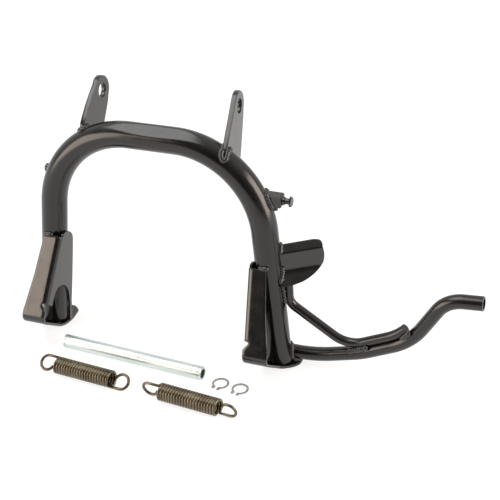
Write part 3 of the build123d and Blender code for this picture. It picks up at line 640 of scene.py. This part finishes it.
# The pivot shaft is drawn tube with a groove near each end, bright zinc plated. The plating is a
# pale blue-white metal with faint marks along the drawing direction.
ZINC_BLUE, ZINC_PALE, ZINC_ROUGHNESS, ZINC_BLOTCH_MM = "#c8d3d0", "#dfe7e5", (0.3, 0.42), 9.0
zinc = new_finish("bright_zinc_plate_on_drawn_tube", (ZINC_BLUE, ZINC_PALE), ZINC_ROUGHNESS,
                  ZINC_BLOTCH_MM, stretch=(0.2, 1.0, 1.0), Metallic=1.0)
dress(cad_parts["pivot_shaft"], zinc)

# Two extension springs, close wound from 3.6 mm oiled spring wire. The last half turn at each end
# is bent up into an open hook. The oil browns the steel and leaves a gleam on every turn. The
# wire is drawn a little thinner than it is, so that the turns show apart.
WIRE_R_MM, WIRE_SHOWN_MM, WIRE_FACETS, COIL_R_MM, TURNS = 1.8, 1.68, 16, 8.45, 21
HOOK_SWEEP, HOOK_STEPS, TURN_STEPS, LEFT_OUT_STEPS = 255.0, 24, 26, 4
# where each coil starts and ends on the floor, and how far it is rolled over
SPRINGS = {"front_left_spring": ((-93.0, -103.7), (-15.7, -109.9), 40.0),
           "front_right_spring": ((40.5, -113.0), (117.0, -120.2), 100.0)}
WIRE_BROWN, WIRE_GREY, WIRE_ROUGHNESS, WIRE_BLOTCH_MM = "#564e40", "#7e7562", (0.22, 0.32), 22.0
wire_steel = new_finish("oiled_spring_steel_wire", (WIRE_BROWN, WIRE_GREY), WIRE_ROUGHNESS,
                        WIRE_BLOTCH_MM, Metallic=0.85)


def spring_line(length, roll):
    """The wire's centre line in mm, along +X: hook, close turns, hook."""
    def hook(at, way, aside, upward):
        turns = [math.radians(90 - HOOK_SWEEP * i / HOOK_STEPS) for i in range(HOOK_STEPS + 1)]
        line = [(-WIRE_R_MM, COIL_R_MM)] + [
            (COIL_R_MM + WIRE_R_MM + COIL_R_MM * math.cos(a), COIL_R_MM * math.sin(a))
            for a in turns]
        return [(at + way * along, rise * aside, rise * upward) for along, rise in line]

    aside, upward = math.cos(math.radians(roll)), math.sin(math.radians(roll))
    first = hook(0.0, -1, aside, upward)
    last = hook(length, 1, -aside, -upward)
    start = math.atan2(first[0][1], first[0][2])
    end = math.atan2(last[0][1], last[0][2])
    whole = 2 * math.pi * TURNS + (end - start) % (2 * math.pi)
    count = TURNS * TURN_STEPS
    coil = []
    for i in range(count + 1):
        a = start + whole * i / count
        coil.append((WIRE_R_MM + (length - 2 * WIRE_R_MM) * i / count,
                     COIL_R_MM * math.sin(a), COIL_R_MM * math.cos(a)))
    return first[::-1] + coil[LEFT_OUT_STEPS:-LEFT_OUT_STEPS] + last


for name, (start, end, roll_at) in SPRINGS.items():
    length = math.dist(start, end)
    ahead = Vector((end[0] - start[0], end[1] - start[1], 0)) / length
    side = Vector((0, 0, 1)).cross(ahead)
    home = placed(*start, COIL_R_MM + WIRE_R_MM)
    row = [home + (ahead * x + side * y + Vector((0, 0, z))) / 1000
           for x, y, z in spring_line(length, roll_at)]
    wire = grown(drawn, path_object(name + "_path", [row]), name + "_wire", {
        "Radius": WIRE_SHOWN_MM / 1000, "Facets": WIRE_FACETS, "Finish": wire_steel})
    finish_piece(wire, "oiled_spring_steel", name)

# Two external retaining rings, stamped from 1 mm spring steel and dipped in phosphate. The dip
# leaves a mid grey, mottled metal that still glints along the stamped edges.
DIP_GREY, DIP_PALE, DIP_ROUGHNESS, DIP_BLOTCH_MM = "#7b7b78", "#b4b4b0", (0.22, 0.34), 3.0
phosphate = new_finish("phosphated_stamped_steel", (DIP_GREY, DIP_PALE), DIP_ROUGHNESS,
                       DIP_BLOTCH_MM, Metallic=0.8)
for name in ("inner_ring", "outer_ring"):
    dress(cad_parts[name], phosphate)

# A plain pale floor. It lights the object as pale paper does, and is seen, also in gloss, as
# white paper that keeps the object's shadow.
FLOOR_M, FLOOR_DROP_M, FLOOR_PALE, FLOOR_SHADE = 12.0, 0.0002, "#e6e6e6", "#a6a6a6"
FLOOR_GLOW = 0.8
paper = bpy.data.materials.new("pale_floor")
paper.use_nodes = True
tree = paper.node_tree
tree.nodes.clear()
rays = add_node(tree, "ShaderNodeLightPath").outputs
seen = add_node(tree, "ShaderNodeMath", {0: rays["Is Camera Ray"], 1: rays["Is Glossy Ray"]},
                operation="MAXIMUM")
seen = add_node(tree, "ShaderNodeMath", {0: seen.outputs[0], 1: rays["Is Transmission Ray"]},
                operation="MAXIMUM")
plain = add_node(tree, "ShaderNodeBsdfDiffuse", {"Color": linear(FLOOR_PALE)})
shaded = add_node(tree, "ShaderNodeBsdfDiffuse", {"Color": linear(FLOOR_SHADE)})
glow = add_node(tree, "ShaderNodeEmission", {"Color": linear("#ffffff"), "Strength": FLOOR_GLOW})
shown = add_node(tree, "ShaderNodeAddShader", {0: shaded.outputs[0], 1: glow.outputs[0]})
choice = add_node(tree, "ShaderNodeMixShader", {
    0: seen.outputs[0], 1: plain.outputs[0], 2: shown.outputs[0]})
add_node(tree, "ShaderNodeOutputMaterial", {"Surface": choice.outputs[0]})
bpy.ops.mesh.primitive_plane_add(size=FLOOR_M, location=(0, 0, -FLOOR_DROP_M))
floor = bpy.context.object
floor.name = "floor"
floor.data.materials.append(paper)

# The room is white to the eye. In the enamel's gloss it falls off from a pale back wall to a dim
# front, and it fills the shadows softly.
ROOM_TINT, ROOM_FRONT, ROOM_BACK, ROOM_FILL = "#f6f5f3", 0.12, 0.95, 0.3
ROOM_FRONT_Y, ROOM_BACK_Y = -0.9, 0.2
world = bpy.data.worlds.new("studio")
bpy.context.scene.world = world
world.use_nodes = True
tree = world.node_tree
tree.nodes.clear()
rays = add_node(tree, "ShaderNodeLightPath").outputs
seen = add_node(tree, "ShaderNodeMath", {0: rays["Is Camera Ray"], 1: rays["Is Transmission Ray"]},
                operation="MAXIMUM")
heading = add_node(tree, "ShaderNodeTexCoord").outputs["Generated"]
depth = add_node(tree, "ShaderNodeSeparateXYZ", {0: heading}).outputs["Y"]
in_gloss = add_node(tree, "ShaderNodeMapRange", {
    "Value": depth, "From Min": ROOM_FRONT_Y, "From Max": ROOM_BACK_Y,
    "To Min": ROOM_FRONT, "To Max": ROOM_BACK})
strength = add_node(tree, "ShaderNodeMix", {
    "Factor": rays["Is Glossy Ray"], "A": ROOM_FILL, "B": in_gloss.outputs["Result"]},
    data_type="FLOAT")
dim = add_node(tree, "ShaderNodeBackground", {
    "Color": linear(ROOM_TINT), "Strength": strength.outputs["Result"]})
white = add_node(tree, "ShaderNodeBackground", {"Color": linear("#ffffff"), "Strength": 1.0})
choice = add_node(tree, "ShaderNodeMixShader", {
    0: seen.outputs[0], 1: dim.outputs[0], 2: white.outputs[0]})
add_node(tree, "ShaderNodeOutputWorld", {"Surface": choice.outputs[0]})

# Three large soft panels, low at the left, low at the right and almost overhead, give the long
# highlights along the tube. All look at the middle of the stand from two metres away.
PANEL_AWAY_M, LOOKED_AT_M = 2.0, Vector((0, 0, 0.12))
# heading and height in degrees, width and height in metres, brightness, tint
PANELS = (("panel_left", -50.0, 13.0, 1.35, 1.1, 4.6, "#ffeedd"),
          ("panel_right", 93.0, 20.0, 1.4, 1.4, 6.0, "#fff2e4"),
          ("panel_top", -70.0, 66.0, 1.5, 1.2, 3.3, "#ffffff"))
for name, heading, height, wide, high, bright, tint in PANELS:
    lamp = bpy.data.lights.new(name, "AREA")
    lamp.shape, lamp.size, lamp.size_y = "RECTANGLE", wide, high
    lamp.energy, lamp.color = bright * wide * high * math.pi, linear(tint)[:3]
    panel = new_object(name, lamp)
    turn, rise = math.radians(heading), math.radians(height)
    level = math.cos(rise)
    aim = Vector((math.sin(turn) * level, -math.cos(turn) * level, math.sin(rise)))
    panel.location = LOOKED_AT_M + aim * PANEL_AWAY_M
    panel.rotation_mode = "QUATERNION"
    panel.rotation_quaternion = aim.to_track_quat("Z", "Y")

bpy.context.scene.view_settings.view_transform = "Standard"
